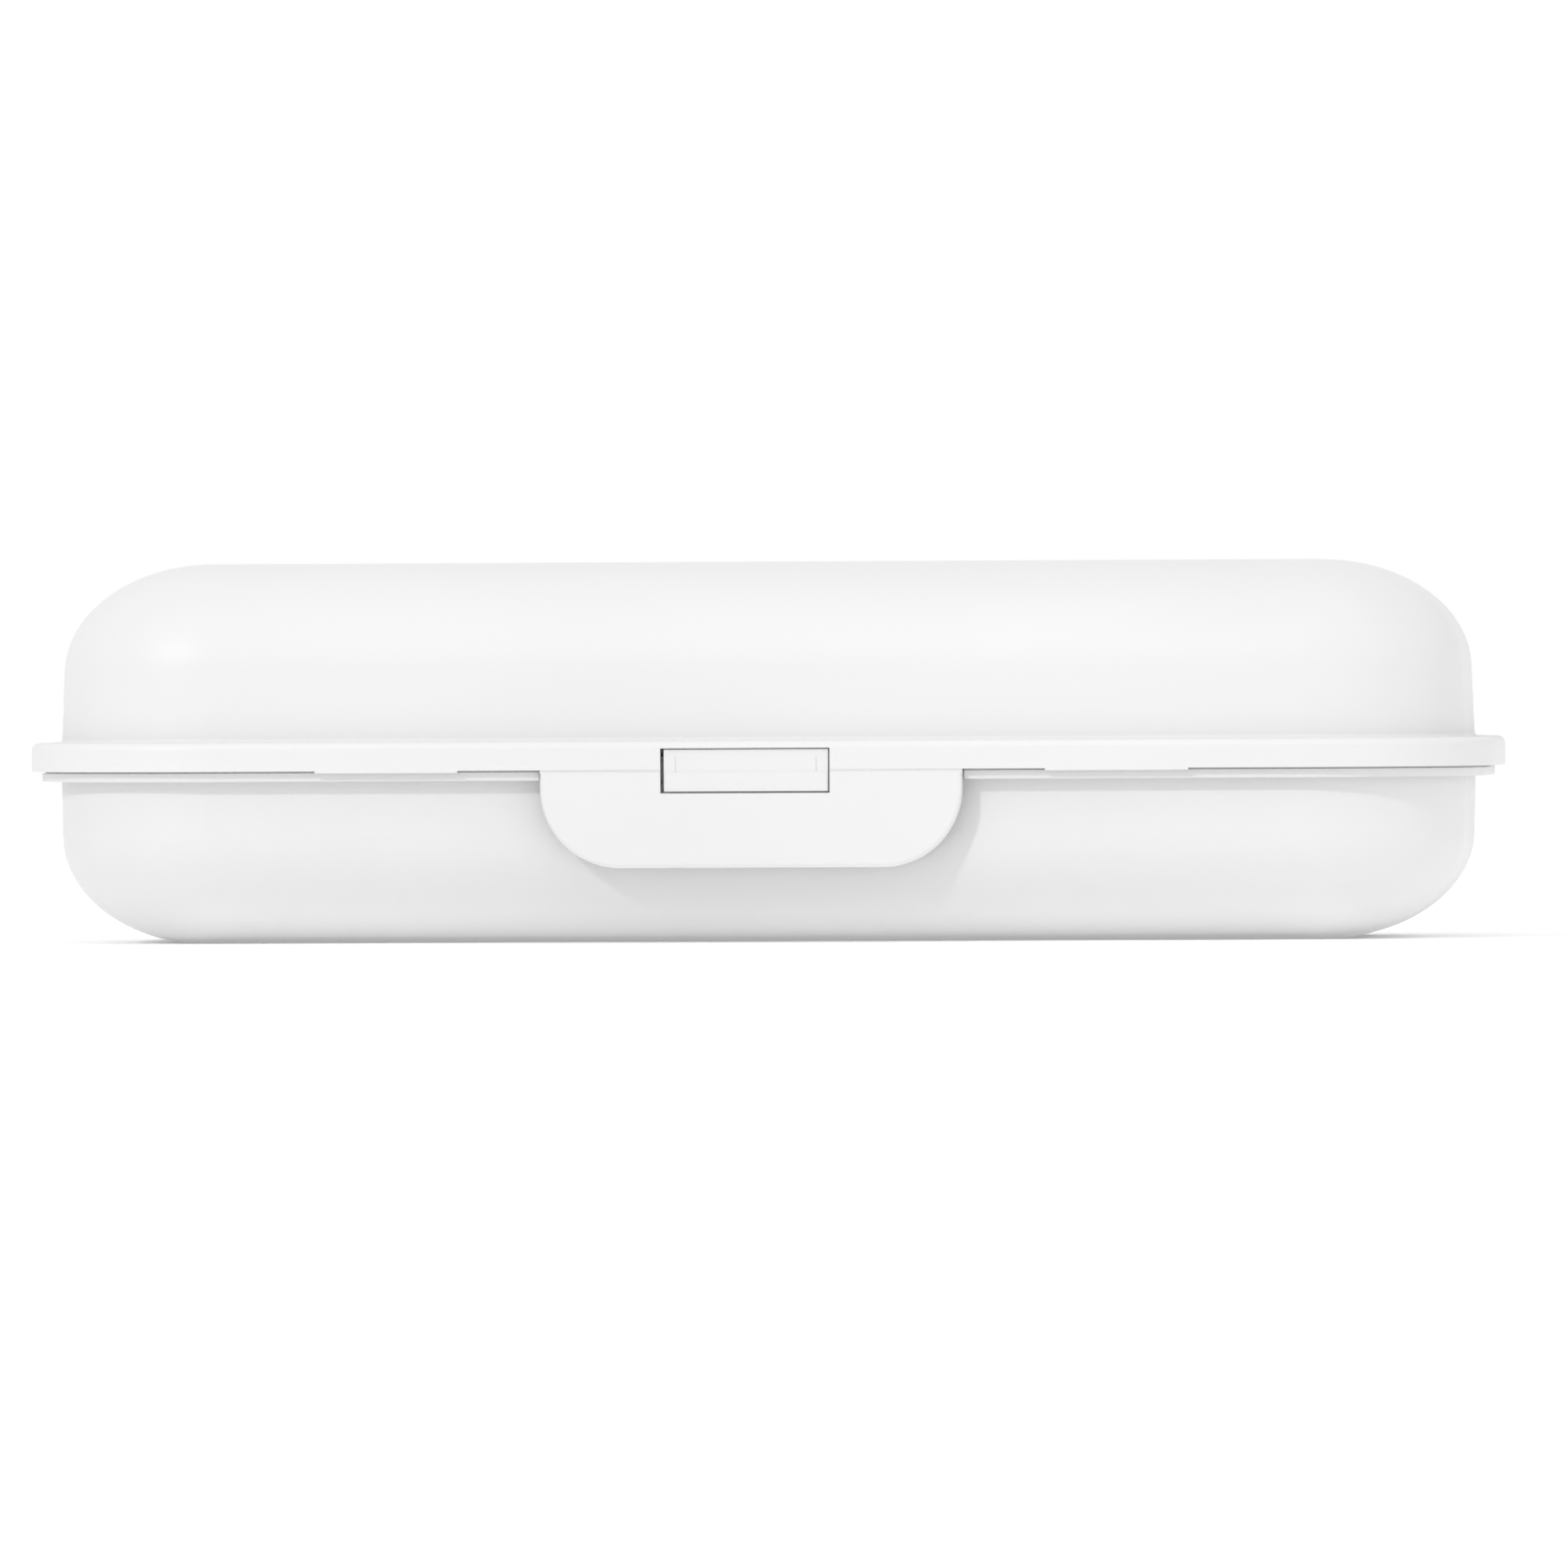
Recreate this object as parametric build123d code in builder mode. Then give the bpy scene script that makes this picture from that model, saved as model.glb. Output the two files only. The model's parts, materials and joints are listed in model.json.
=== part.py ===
"""Portable UV-C toothbrush sanitizer: a clamshell box with a pull-tab latch.

Units are millimetres. X runs along the box, the pull tab faces -Y and +Z is up.
The origin is the middle of the flat face that the box rests on.
"""

import os

from build123d import *

os.makedirs("parts", exist_ok=True)

# ---- driving dimensions -------------------------------------------------------------
BODY_LENGTH = 213.0
BODY_DEPTH = 84.0
BODY_CORNER = 24.0
TOTAL_HEIGHT = 57.3
WALL = 2.0
EDGE_IN = 22.5  # how far the rolled edge reaches in from the wall
EDGE_UP = 16.5  # and how tall it is
FOOT_CUT = 0.3  # the base's roll is cut off flat this far above its lowest point

RIM_OVERHANG = 4.5  # lid rim past the body, all round
RIM_BOTTOM = 26.0
RIM_TOP = 30.4
RIM_SKIRT = 1.5
LUG_X = 55.0  # two stretches of the front rim that are a little deeper
LUG_HALF = 10.75
LUG_DEPTH = 0.3
LID_LEAN = 0.6
BASE_LEAN = 0.2

MOUTH = 28.0  # top of the base's rim
LID_SEAT = 28.4  # underside of the lid's flange
LIP_BOTTOM = 24.5
LIP_TOP = 25.8
LIP_OVERHANG = 2.9
BASE_RIM_OVERHANG = 2.4

TAB_WIDTH = 63.6
TAB_BOTTOM = 11.3
TAB_TOP = 25.7
TAB_CORNER = 12.0
TAB_THICK = 2.0
TAB_AXIS_Z = 25.95
TAB_AXIS_INSET = 0.35  # from the rim's front face to the tab's flexing bead
BEAD_R = 0.25
WINDOW_WIDTH = 25.5
WINDOW_SHIFT = -0.9
WINDOW_BOTTOM = 22.5
WINDOW_TOP = 29.25
CATCH_STEP_Z = 25.7
CATCH_NOTCH_IN = 1.8
CATCH_GAPS = (0.5, 0.2, 0.25, 0.15)  # left, right, under and over it in the window
CATCH_TONGUE = (24.9, 26.6, 0.9)  # low z, high z and depth of its tongue in the base

HINGE_X = 62.0
HINGE_Y = 50.4
HINGE_Z = 25.4
KNUCKLE_R = 2.7
LID_KNUCKLE = 14.0
BASE_EAR = 6.5
EAR_GAP = 0.4
PIN_R = 1.2

HANDLE_BAY = (0.0, -18.5, 196.0, 35.0, 8.0)  # centre x, y, length, width, floor height
HEAD_BAY_X = 49.0
HEAD_BAY = (86.0, 27.0, 11.0)  # length, width, floor height
HEAD_BAY_Y = 17.5
TRAY_WALL = 1.6
TRAY_GAP = 0.25  # between the tray's edge and the base's wall
TRAY_POST_X = 70.0
TRAY_POST_R = 3.0
DECK_TOP = 27.2
HANDLE_R = 15.0
HEAD_R = 7.5

PANEL_BOTTOM = 44.4
PANEL_TOP = 46.0
LAMP_PITCH = 24.0
BUTTON_R = 7.0
BUTTON_TRAVEL = 0.6
SOCKET_Z = 38.0
SOCKET_OUTSIDE = (8.94, 3.26)  # width and height of the charge inlet's oval shell
SOCKET_MOUTH = (8.34, 2.66)
INLET_HOLE = (9.6, 3.9)
INLET_RECESS = (12.6, 6.8)
BATTERY_X = (-50.0, 10.0)
BATTERY_Y = (-29.0, -9.0)
BATTERY_THICK = 6.0
PAD_THICK = 1.0

# ---- worked out from them -----------------------------------------------------------
HALF_X = BODY_LENGTH / 2
HALF_Y = BODY_DEPTH / 2
FRONT = -(HALF_Y + RIM_OVERHANG)  # front face of the rim and the tab
RIM_CORNER = BODY_CORNER + RIM_OVERHANG
LID_TOP_INSIDE = TOTAL_HEIGHT - WALL
TAB_BAY = TAB_WIDTH / 2 + 0.2  # the base's lip stops short behind the tab
WINDOW_X = (WINDOW_SHIFT - WINDOW_WIDTH / 2, WINDOW_SHIFT + WINDOW_WIDTH / 2)
CATCH_X = (WINDOW_X[0] + CATCH_GAPS[0], WINDOW_X[1] - CATCH_GAPS[1])
CATCH_BOTTOM = WINDOW_BOTTOM + CATCH_GAPS[2]
CATCH_TOP = WINDOW_TOP - CATCH_GAPS[3]
CATCH_BACK = FRONT + 3.4
TONGUE_X = (WINDOW_SHIFT - 9.0, WINDOW_SHIFT + 9.0)
HINGE_HALF = LID_KNUCKLE / 2 + EAR_GAP + BASE_EAR
WIDE = 400.0  # longer than the whole box


def rolled_section(plane, reach, mouth, height, lean, edge_in, edge_up, up):
    """Half section of a tub: a leaning wall that rolls over into a flat end."""
    shoulder = mouth + up * (height - edge_up)
    end = mouth + up * height
    flat = reach - lean - edge_in
    with BuildSketch(plane) as section:
        with BuildLine():
            Polyline((flat, end), (0, end), (0, mouth), (reach, mouth), (reach - lean, shoulder))
            EllipticalCenterArc((flat, shoulder), edge_in, edge_up, arc_size=90 * up)
        make_face()
    return section.sketch


def tub(half_x, half_y, corner, mouth, height, lean, edge_in, edge_up, up):
    """Solid tub, open end at z = mouth: one quarter, mirrored to four."""
    along, across = half_x - corner, half_y - corner
    shape = (mouth, height, lean, edge_in, edge_up, up)
    end_plane = Plane(origin=(along, 0, 0), x_dir=(1, 0, 0), z_dir=(0, -1, 0))
    corner_plane = Plane(origin=(along, across, 0), x_dir=(1, 0, 0), z_dir=(0, -1, 0))
    with BuildPart() as solid:
        extrude(rolled_section(Plane.YZ, half_y, *shape), amount=along)
        extrude(rolled_section(end_plane, corner, *shape), amount=-across)
        revolve(
            rolled_section(corner_plane, corner, *shape),
            axis=Axis((along, across, 0), (0, 0, 1)),
            revolution_arc=90,
        )
        mirror(about=Plane.YZ)
        mirror(about=Plane.XZ)
    return solid.part


def slab(half_x, half_y, corner, bottom, top):
    """Flat plate with rounded plan corners."""
    with BuildPart() as plate:
        with BuildSketch(Plane.XY.offset(bottom)):
            RectangleRounded(2 * half_x, 2 * half_y, corner)
        extrude(amount=top - bottom)
    return plate.part


def ring(overhang_out, overhang_in, bottom, top):
    """Flat ring that follows the body's outline, given by its two offsets from it."""
    with BuildPart() as band:
        with BuildSketch(Plane.XY.offset(bottom)):
            for overhang, mode in ((overhang_out, Mode.ADD), (overhang_in, Mode.SUBTRACT)):
                RectangleRounded(
                    BODY_LENGTH + 2 * overhang,
                    BODY_DEPTH + 2 * overhang,
                    BODY_CORNER + overhang,
                    mode=mode,
                )
        extrude(amount=top - bottom)
    return band.part


def block(x, y, z):
    """Plain block between (low, high) pairs, for pockets and small plates."""
    with BuildPart() as box:
        with Locations(((x[0] + x[1]) / 2, (y[0] + y[1]) / 2, (z[0] + z[1]) / 2)):
            Box(x[1] - x[0], y[1] - y[0], z[1] - z[0])
    return box.part


def rod(radius, x, y, z):
    """Round bar along X between the two x values."""
    with BuildPart() as bar:
        with BuildSketch(Plane.YZ.offset(x[0])):
            with Locations((y, z)):
                Circle(radius)
        extrude(amount=x[1] - x[0])
    return bar.part


def post(radius, x, y, z):
    """Upright round post between the two z values."""
    with BuildPart() as column:
        with BuildSketch(Plane.XY.offset(z[0])):
            with Locations((x, y)):
                Circle(radius)
        extrude(amount=z[1] - z[0])
    return column.part


def hinge_leaf(x, outline):
    """Knuckle with its web: a circle round the hinge axis joined to an outline, along X."""
    with BuildPart() as leaf:
        with BuildSketch(Plane.YZ.offset(x[0])):
            with BuildLine():
                Polyline(*outline, close=True)
            make_face()
            with Locations((HINGE_Y, HINGE_Z)):
                Circle(KNUCKLE_R)
        extrude(amount=x[1] - x[0])
    return leaf.part


def stadium(width, height, y, z):
    """Flat-sided oval bar along Y between the two y values, centred at x = 0."""
    with BuildPart() as oval:
        with BuildSketch(Plane.XZ.offset(-y[1])):
            with Locations((0, z)):
                SlotOverall(width, height)
        extrude(amount=y[1] - y[0])
    return oval.part


def finish(builder, label):
    """Name a finished piece and write it."""
    builder.part.label = label
    export_step(builder.part, f"parts/{label}.step")


# ---- base shell ---------------------------------------------------------------------
EAR_OUTLINE = [
    (HALF_Y - 0.8, LIP_BOTTOM - 5.0),
    (HINGE_Y, HINGE_Z - KNUCKLE_R),
    (HINGE_Y, HINGE_Z),
    (HALF_Y - 0.8, HINGE_Z),
]
base_outside = tub(
    HALF_X, HALF_Y, BODY_CORNER, MOUTH, MOUTH + FOOT_CUT, BASE_LEAN, EDGE_IN, EDGE_UP, -1
)
base_inside = tub(
    HALF_X - WALL,
    HALF_Y - WALL,
    BODY_CORNER - WALL,
    MOUTH,
    MOUTH - WALL,
    BASE_LEAN,
    EDGE_IN - WALL,
    EDGE_UP - WALL,
    -1,
)
catch_tongue = block(TONGUE_X, (CATCH_BACK, CATCH_BACK + CATCH_TONGUE[2]), CATCH_TONGUE[:2])

with BuildPart() as base_shell:
    add(base_outside)
    add(slab(WIDE, WIDE, 1.0, -WIDE, 0.0), mode=Mode.SUBTRACT)
    add(ring(LIP_OVERHANG, -WALL, LIP_BOTTOM, LIP_TOP))
    add(ring(BASE_RIM_OVERHANG, -WALL, LIP_TOP, MOUTH))
    for side in (-1, 1):
        for end in (-1, 1):
            near = side * HINGE_X + end * (LID_KNUCKLE / 2 + EAR_GAP)
            far = side * HINGE_X + end * HINGE_HALF
            add(hinge_leaf(sorted((near, far)), EAR_OUTLINE))
    add(base_inside, mode=Mode.SUBTRACT)
    # room behind the pull tab, and the pocket for the catch's tongue
    add(
        block((-TAB_BAY, TAB_BAY), (FRONT - 1, CATCH_BACK), (LIP_BOTTOM - 1, MOUTH + 1)),
        mode=Mode.SUBTRACT,
    )
    add(catch_tongue, mode=Mode.SUBTRACT)
    # groove for the seal
    add(ring(0.5, -1.1, MOUTH - 1.0, MOUTH + 1.0), mode=Mode.SUBTRACT)
    for side in (-1, 1):
        bore = (side * HINGE_X - HINGE_HALF - 1, side * HINGE_X + HINGE_HALF + 1)
        add(rod(PIN_R + 0.02, bore, HINGE_Y, HINGE_Z), mode=Mode.SUBTRACT)
    # posts that carry the tray
    for x in (-TRAY_POST_X, 0.0, TRAY_POST_X):
        for y, floor in ((HANDLE_BAY[1], HANDLE_BAY[4]), (HEAD_BAY_Y, HEAD_BAY[2])):
            add(post(TRAY_POST_R, x, y, (WALL - 0.5, floor - TRAY_WALL)))
finish(base_shell, "base_shell")

for side, name in ((-1, "hinge_pin_left"), (1, "hinge_pin_right")):
    with BuildPart() as hinge_pin:
        add(rod(PIN_R, (side * HINGE_X - HINGE_HALF, side * HINGE_X + HINGE_HALF), HINGE_Y, HINGE_Z))
        chamfer(hinge_pin.edges().filter_by(GeomType.CIRCLE), 0.3)
    finish(hinge_pin, name)

with BuildPart() as rim_gasket:
    add(ring(0.45, -1.05, MOUTH - 0.95, MOUTH + 0.3))
    fillet(rim_gasket.edges().group_by(Axis.Z)[-1], 0.3)
finish(rim_gasket, "rim_gasket")

# ---- latch --------------------------------------------------------------------------
with BuildPart() as latch_catch:
    add(block(CATCH_X, (FRONT + 0.3, CATCH_BACK), (CATCH_BOTTOM, CATCH_TOP)))
    upper_edge = latch_catch.edges().filter_by(Axis.X).group_by(Axis.Y)[0].sort_by(Axis.Z)[-1]
    chamfer(upper_edge, 0.15)
    fillet(latch_catch.edges().filter_by(Axis.Z).group_by(Axis.Y)[0], 0.3)
    # the upper half of the face stands back a little, with a notch at each end
    add(block(CATCH_X, (FRONT - 1, FRONT + 0.42), (CATCH_STEP_Z, RIM_TOP)), mode=Mode.SUBTRACT)
    for x in (CATCH_X[0] + CATCH_NOTCH_IN, CATCH_X[1] - CATCH_NOTCH_IN):
        notch = block((x - 0.1, x + 0.1), (FRONT - 1, FRONT + 0.5), (CATCH_STEP_Z, CATCH_TOP - 1.2))
        add(notch, mode=Mode.SUBTRACT)
    add(catch_tongue)
finish(latch_catch, "latch_catch")

with BuildPart() as latch_tab:
    with BuildSketch(Plane.XZ.offset(-FRONT)):
        with BuildLine():
            edge, low = TAB_WIDTH / 2, TAB_BOTTOM
            Line((-edge, TAB_TOP), (-edge, low + TAB_CORNER))
            RadiusArc((-edge, low + TAB_CORNER), (-edge + TAB_CORNER, low), -TAB_CORNER)
            Line((-edge + TAB_CORNER, low), (edge - TAB_CORNER, low))
            RadiusArc((edge - TAB_CORNER, low), (edge, low + TAB_CORNER), -TAB_CORNER)
            Line((edge, low + TAB_CORNER), (edge, TAB_TOP))
            Line((edge, TAB_TOP), (-edge, TAB_TOP))
        make_face()
    extrude(amount=-TAB_THICK)
    outer_edges = latch_tab.edges().group_by(Axis.Y)[0].filter_by_position(Axis.Z, 0, TAB_TOP - 0.1)
    fillet(outer_edges, 0.6)
    # neck and bead that the tab flexes on, then the window's lower half
    bead_y = FRONT + TAB_AXIS_INSET
    add(block((-edge, edge), (bead_y - BEAD_R, bead_y + BEAD_R), (TAB_TOP - 0.2, TAB_AXIS_Z)))
    add(rod(BEAD_R, (-edge, edge), bead_y, TAB_AXIS_Z))
    add(block(WINDOW_X, (FRONT - 1, FRONT + 4), (WINDOW_BOTTOM, RIM_TOP)), mode=Mode.SUBTRACT)
finish(latch_tab, "latch_tab")

# ---- lid shell ----------------------------------------------------------------------
KNUCKLE_OUTLINE = [
    (HALF_Y + RIM_OVERHANG - 1.0, RIM_BOTTOM + 0.1),
    (HALF_Y + RIM_OVERHANG - 1.0, RIM_TOP - 1.2),
    (HINGE_Y, HINGE_Z + KNUCKLE_R),
    (HINGE_Y, HINGE_Z),
]
LID_HEIGHT = TOTAL_HEIGHT - LID_SEAT
BOSS_X, BOSS_Y = 86.0, 22.0
RING_R = (7.4, 8.8)  # light ring round the button

lid_outside = tub(HALF_X, HALF_Y, BODY_CORNER, LID_SEAT, LID_HEIGHT, LID_LEAN, EDGE_IN, EDGE_UP, 1)
lid_inside = tub(
    HALF_X - WALL,
    HALF_Y - WALL,
    BODY_CORNER - WALL,
    LID_SEAT,
    LID_HEIGHT - WALL,
    LID_LEAN,
    EDGE_IN - WALL,
    EDGE_UP - WALL,
    1,
)

with BuildPart() as lid_shell:
    add(slab(HALF_X + RIM_OVERHANG, HALF_Y + RIM_OVERHANG, RIM_CORNER, RIM_BOTTOM, RIM_TOP))
    fillet(lid_shell.edges().group_by(Axis.Z)[-1], 1.1)
    inside_rim = RIM_OVERHANG - RIM_SKIRT
    add(
        slab(HALF_X + inside_rim, HALF_Y + inside_rim, BODY_CORNER + inside_rim, 20.0, LID_SEAT),
        mode=Mode.SUBTRACT,
    )
    add(lid_outside)
    level_faces = lid_shell.faces().filter_by(Plane.XY)
    rim_face = level_faces.filter_by_position(Axis.Z, RIM_TOP - 0.1, RIM_TOP + 0.1).sort_by(SortBy.AREA)[-1]
    fillet(rim_face.inner_wires()[0].edges(), 0.6)
    for side in (-1, 1):
        middle = side * HINGE_X
        add(hinge_leaf((middle - LID_KNUCKLE / 2, middle + LID_KNUCKLE / 2), KNUCKLE_OUTLINE))
        # the front rim is a little deeper over two short stretches
        lug_x = (side * LUG_X - LUG_HALF, side * LUG_X + LUG_HALF)
        add(block(lug_x, (FRONT, FRONT + RIM_SKIRT), (RIM_BOTTOM - LUG_DEPTH, RIM_BOTTOM)))
    add(lid_inside, mode=Mode.SUBTRACT)
    for side in (-1, 1):
        bore = (side * HINGE_X - HINGE_HALF, side * HINGE_X + HINGE_HALF)
        add(rod(PIN_R + 0.1, bore, HINGE_Y, HINGE_Z), mode=Mode.SUBTRACT)
        for end in (-1, 1):
            add(post(3.0, side * BOSS_X, end * BOSS_Y, (PANEL_TOP, LID_TOP_INSIDE + 0.4)))
            screw_hole = post(1.05, side * BOSS_X, end * BOSS_Y, (PANEL_TOP - 1, PANEL_TOP + 7))
            add(screw_hole, mode=Mode.SUBTRACT)
    # window, and the groove that the tab's bead turns in
    rim_window = block(WINDOW_X, (FRONT - 1, CATCH_BACK + 0.3), (RIM_BOTTOM - 1, WINDOW_TOP))
    add(rim_window, mode=Mode.SUBTRACT)
    add(rod(BEAD_R + 0.05, (-edge, edge), bead_y, TAB_AXIS_Z), mode=Mode.SUBTRACT)
    # power button and its light ring
    add(post(RING_R[0], 0, 0, (50.0, 60.0)), mode=Mode.SUBTRACT)
    add(post(RING_R[1] + 0.05, 0, 0, (TOTAL_HEIGHT - 1.0, 60.0)), mode=Mode.SUBTRACT)
    # charge inlet in the back wall
    add(stadium(*INLET_HOLE, (HALF_Y - 5, HALF_Y + 5), SOCKET_Z), mode=Mode.SUBTRACT)
    add(stadium(*INLET_RECESS, (HALF_Y - 1.1, HALF_Y + 5), SOCKET_Z), mode=Mode.SUBTRACT)
finish(lid_shell, "lid_shell")

# ---- tray and its soft rests --------------------------------------------------------


def well(x, y, length, width, floor, top, corner=12.0, edge=8.0):
    """Deep pocket shape with rounded plan corners and a rounded floor edge."""
    with BuildPart() as pocket:
        with BuildSketch(Plane.XY.offset(floor)):
            with Locations((x, y)):
                RectangleRounded(length, width, corner)
        extrude(amount=top - floor)
        fillet(pocket.edges().group_by(Axis.Z)[0], edge)
    return pocket.part


bays = [HANDLE_BAY] + [(side * HEAD_BAY_X, HEAD_BAY_Y) + HEAD_BAY for side in (-1, 1)]
with BuildPart() as base_tray:
    add(
        slab(
            HALF_X - WALL - TRAY_GAP,
            HALF_Y - WALL - TRAY_GAP,
            BODY_CORNER - WALL - TRAY_GAP,
            DECK_TOP - TRAY_WALL,
            DECK_TOP,
        )
    )
    for x, y, length, width, floor in bays:
        grown = 2 * TRAY_WALL
        add(well(x, y, length + grown, width + grown, floor - TRAY_WALL, DECK_TOP - 0.5, 13.6, 9.6))
    for x, y, length, width, floor in bays:
        add(well(x, y, length, width, floor, DECK_TOP + 1), mode=Mode.SUBTRACT)
    fillet(base_tray.edges().group_by(Axis.Z)[-1].filter_by(GeomType.CIRCLE), 0.3)
finish(base_tray, "base_tray")


def rest(x, bay, brush_r, brush_z, thick):
    """Soft saddle across a bay, hollowed for a round handle or head."""
    bay_x, y, length, width, floor = bay
    with BuildPart() as saddle:
        add(well(bay_x, y, length - 0.5, width - 0.5, floor, DECK_TOP))
        add(
            block((x - thick / 2, x + thick / 2), (y - 30, y + 30), (floor - 1, brush_z - brush_r / 3)),
            mode=Mode.INTERSECT,
        )
        add(rod(brush_r, (x - thick, x + thick), y, brush_z), mode=Mode.SUBTRACT)
    return saddle.part


for side, name in ((-1, "left"), (1, "right")):
    with BuildPart() as handle_rest:
        add(rest(side * 58.0, bays[0], HANDLE_R, HANDLE_BAY[4] + HANDLE_R + 2.2, 10.0))
    finish(handle_rest, f"handle_rest_{name}")
    head_bay = bays[1] if side < 0 else bays[2]
    with BuildPart() as head_rest:
        for x in (head_bay[0] - 22.0, head_bay[0] + 22.0):
            add(rest(x, head_bay, HEAD_R, HEAD_BAY[2] + HEAD_R + 2.0, 7.0))
    finish(head_rest, f"head_rest_{name}")

with BuildPart() as sensor_magnet:
    add(post(3.0, 0, 36.2, (DECK_TOP - TRAY_WALL - 3.0, DECK_TOP - TRAY_WALL)))
finish(sensor_magnet, "sensor_magnet")

# ---- lid panel, with the compartment behind it --------------------------------------
POD_X = 53.5
POD_FRONT = 33.0
POD_BACK = 37.9
POD_BOTTOM = 30.8
POD_WALL = 1.5
LAMP_HALF = 70.8  # half length of the lamp window
STANDOFF_X = 75.0
BOARD_BOTTOM = 49.2
BOARD_THICK = 1.2

with BuildPart() as lamp_panel:
    add(slab(102.2, 37.7, 20.0, PANEL_BOTTOM, PANEL_TOP))
    add(block((-POD_X, POD_X), (POD_FRONT, POD_BACK), (POD_BOTTOM, PANEL_TOP)))
    add(
        block(
            (-POD_X + POD_WALL, POD_X - POD_WALL),
            (POD_FRONT + POD_WALL, 45.0),
            (POD_BOTTOM + POD_WALL, 50.0),
        ),
        mode=Mode.SUBTRACT,
    )
    add(block((-68.0, 68.0), (-6.0, 6.0), (40.0, 50.0)), mode=Mode.SUBTRACT)
    add(block((-71.0, 71.0), (-8.0, 8.0), (PANEL_TOP - 0.8, 50.0)), mode=Mode.SUBTRACT)
    for side in (-1, 1):
        add(post(2.2, side * STANDOFF_X, 0, (PANEL_TOP - 0.5, BOARD_BOTTOM)))
        add(post(0.85, side * STANDOFF_X, 0, (PANEL_TOP, BOARD_BOTTOM)), mode=Mode.SUBTRACT)
    with Locations(Plane((0, 0, PANEL_BOTTOM), x_dir=(1, 0, 0), z_dir=(0, 0, -1))):
        with GridLocations(2 * BOSS_X, 2 * BOSS_Y, 2, 2):
            CounterSinkHole(radius=1.2, counter_sink_radius=2.4)
finish(lamp_panel, "lamp_panel")

with BuildPart() as panel_screws:
    for x in (-BOSS_X, BOSS_X):
        for y in (-BOSS_Y, BOSS_Y):
            add(post(1.0, x, y, (PANEL_BOTTOM + 0.3, PANEL_TOP + 6.0)))
            with BuildSketch(Plane((x, y, PANEL_BOTTOM + 0.1), x_dir=(1, 0, 0), z_dir=(0, 0, 1))):
                Circle(2.1)
            extrude(amount=1.1, taper=45)
            cross = Plane((x, y, PANEL_BOTTOM), x_dir=(1, 0, 0), z_dir=(0, 0, 1))
            with BuildSketch(cross):
                Rectangle(2.4, 0.5)
                Rectangle(0.5, 2.4)
            extrude(amount=0.7, mode=Mode.SUBTRACT)
finish(panel_screws, "panel_screws")

# ---- lamps --------------------------------------------------------------------------
WINDOW_PANE_Z = (PANEL_TOP - 0.8, PANEL_TOP + 0.4)
with BuildPart() as lamp_window:
    add(block((-LAMP_HALF, LAMP_HALF), (-7.8, 7.8), WINDOW_PANE_Z))
    chamfer(lamp_window.edges().filter_by(Axis.Z), 0.6)
finish(lamp_window, "lamp_window")

with BuildPart() as lamp_reflector:
    add(block((-LAMP_HALF, LAMP_HALF), (-7.4, 7.4), (WINDOW_PANE_Z[1], BOARD_BOTTOM)))
    with BuildSketch(Plane.XY.offset(WINDOW_PANE_Z[1])):
        Rectangle(2 * LAMP_HALF - 3.0, 13.0)
    with BuildSketch(Plane.XY.offset(BOARD_BOTTOM)):
        Rectangle(2 * LAMP_HALF - 9.0, 7.0)
    loft(mode=Mode.SUBTRACT)
finish(lamp_reflector, "lamp_reflector")

with BuildPart() as lamp_board:
    board_x = (-STANDOFF_X - 3.0, STANDOFF_X + 3.0)
    add(block(board_x, (-6.0, 6.0), (BOARD_BOTTOM, BOARD_BOTTOM + BOARD_THICK)))
    for x in (-STANDOFF_X, STANDOFF_X):
        add(post(1.1, x, 0, (BOARD_BOTTOM - 1, BOARD_BOTTOM + 3)), mode=Mode.SUBTRACT)
finish(lamp_board, "lamp_board")

with BuildPart() as uv_lamps:
    for place in range(-2, 3):
        x = place * LAMP_PITCH
        add(block((x - 1.75, x + 1.75), (-1.75, 1.75), (BOARD_BOTTOM - 0.8, BOARD_BOTTOM)))
        add(post(1.3, x, 0, (BOARD_BOTTOM - 1.3, BOARD_BOTTOM - 0.8)))
finish(uv_lamps, "uv_lamps")

with BuildPart() as lamp_board_screws:
    for x in (-STANDOFF_X, STANDOFF_X):
        add(post(0.8, x, 0, (PANEL_TOP + 0.4, BOARD_BOTTOM + BOARD_THICK)))
        add(post(1.7, x, 0, (BOARD_BOTTOM + BOARD_THICK, BOARD_BOTTOM + 2 * BOARD_THICK)))
finish(lamp_board_screws, "lamp_board_screws")

# ---- battery and control board ------------------------------------------------------
BATTERY_BOTTOM = PANEL_TOP + PAD_THICK
with BuildPart() as battery_pad:
    pad_x, pad_y = (BATTERY_X[0] + 2, BATTERY_X[1] - 2), (BATTERY_Y[0] + 1, BATTERY_Y[1] - 1)
    add(block(pad_x, pad_y, (PANEL_TOP, BATTERY_BOTTOM)))
finish(battery_pad, "battery_pad")

with BuildPart() as battery_cell:
    add(block(BATTERY_X, BATTERY_Y, (BATTERY_BOTTOM, BATTERY_BOTTOM + BATTERY_THICK)))
    fillet(battery_cell.edges().filter_by(Axis.X), 1.5)
finish(battery_cell, "battery_cell")

BOARD_Y = (35.2, 36.4)
with BuildPart() as control_board:
    add(block((-48.0, 48.0), BOARD_Y, (POD_BOTTOM + POD_WALL, 43.8)))
finish(control_board, "control_board")

with BuildPart() as control_chips:
    for x, z, size in ((-30.0, 37.0, 6.0), (-18.0, 38.0, 4.0), (22.0, 37.5, 5.0), (34.0, 37.0, 3.0)):
        half = size / 2
        add(block((x - half, x + half), (BOARD_Y[1], BOARD_Y[1] + 0.9), (z - half, z + half)))
finish(control_chips, "control_chips")

with BuildPart() as lid_sensor:
    add(block((-16.0, -12.0), (BOARD_Y[1], BOARD_Y[1] + 1.2), (33.0, 36.0)))
finish(lid_sensor, "lid_sensor")


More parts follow.
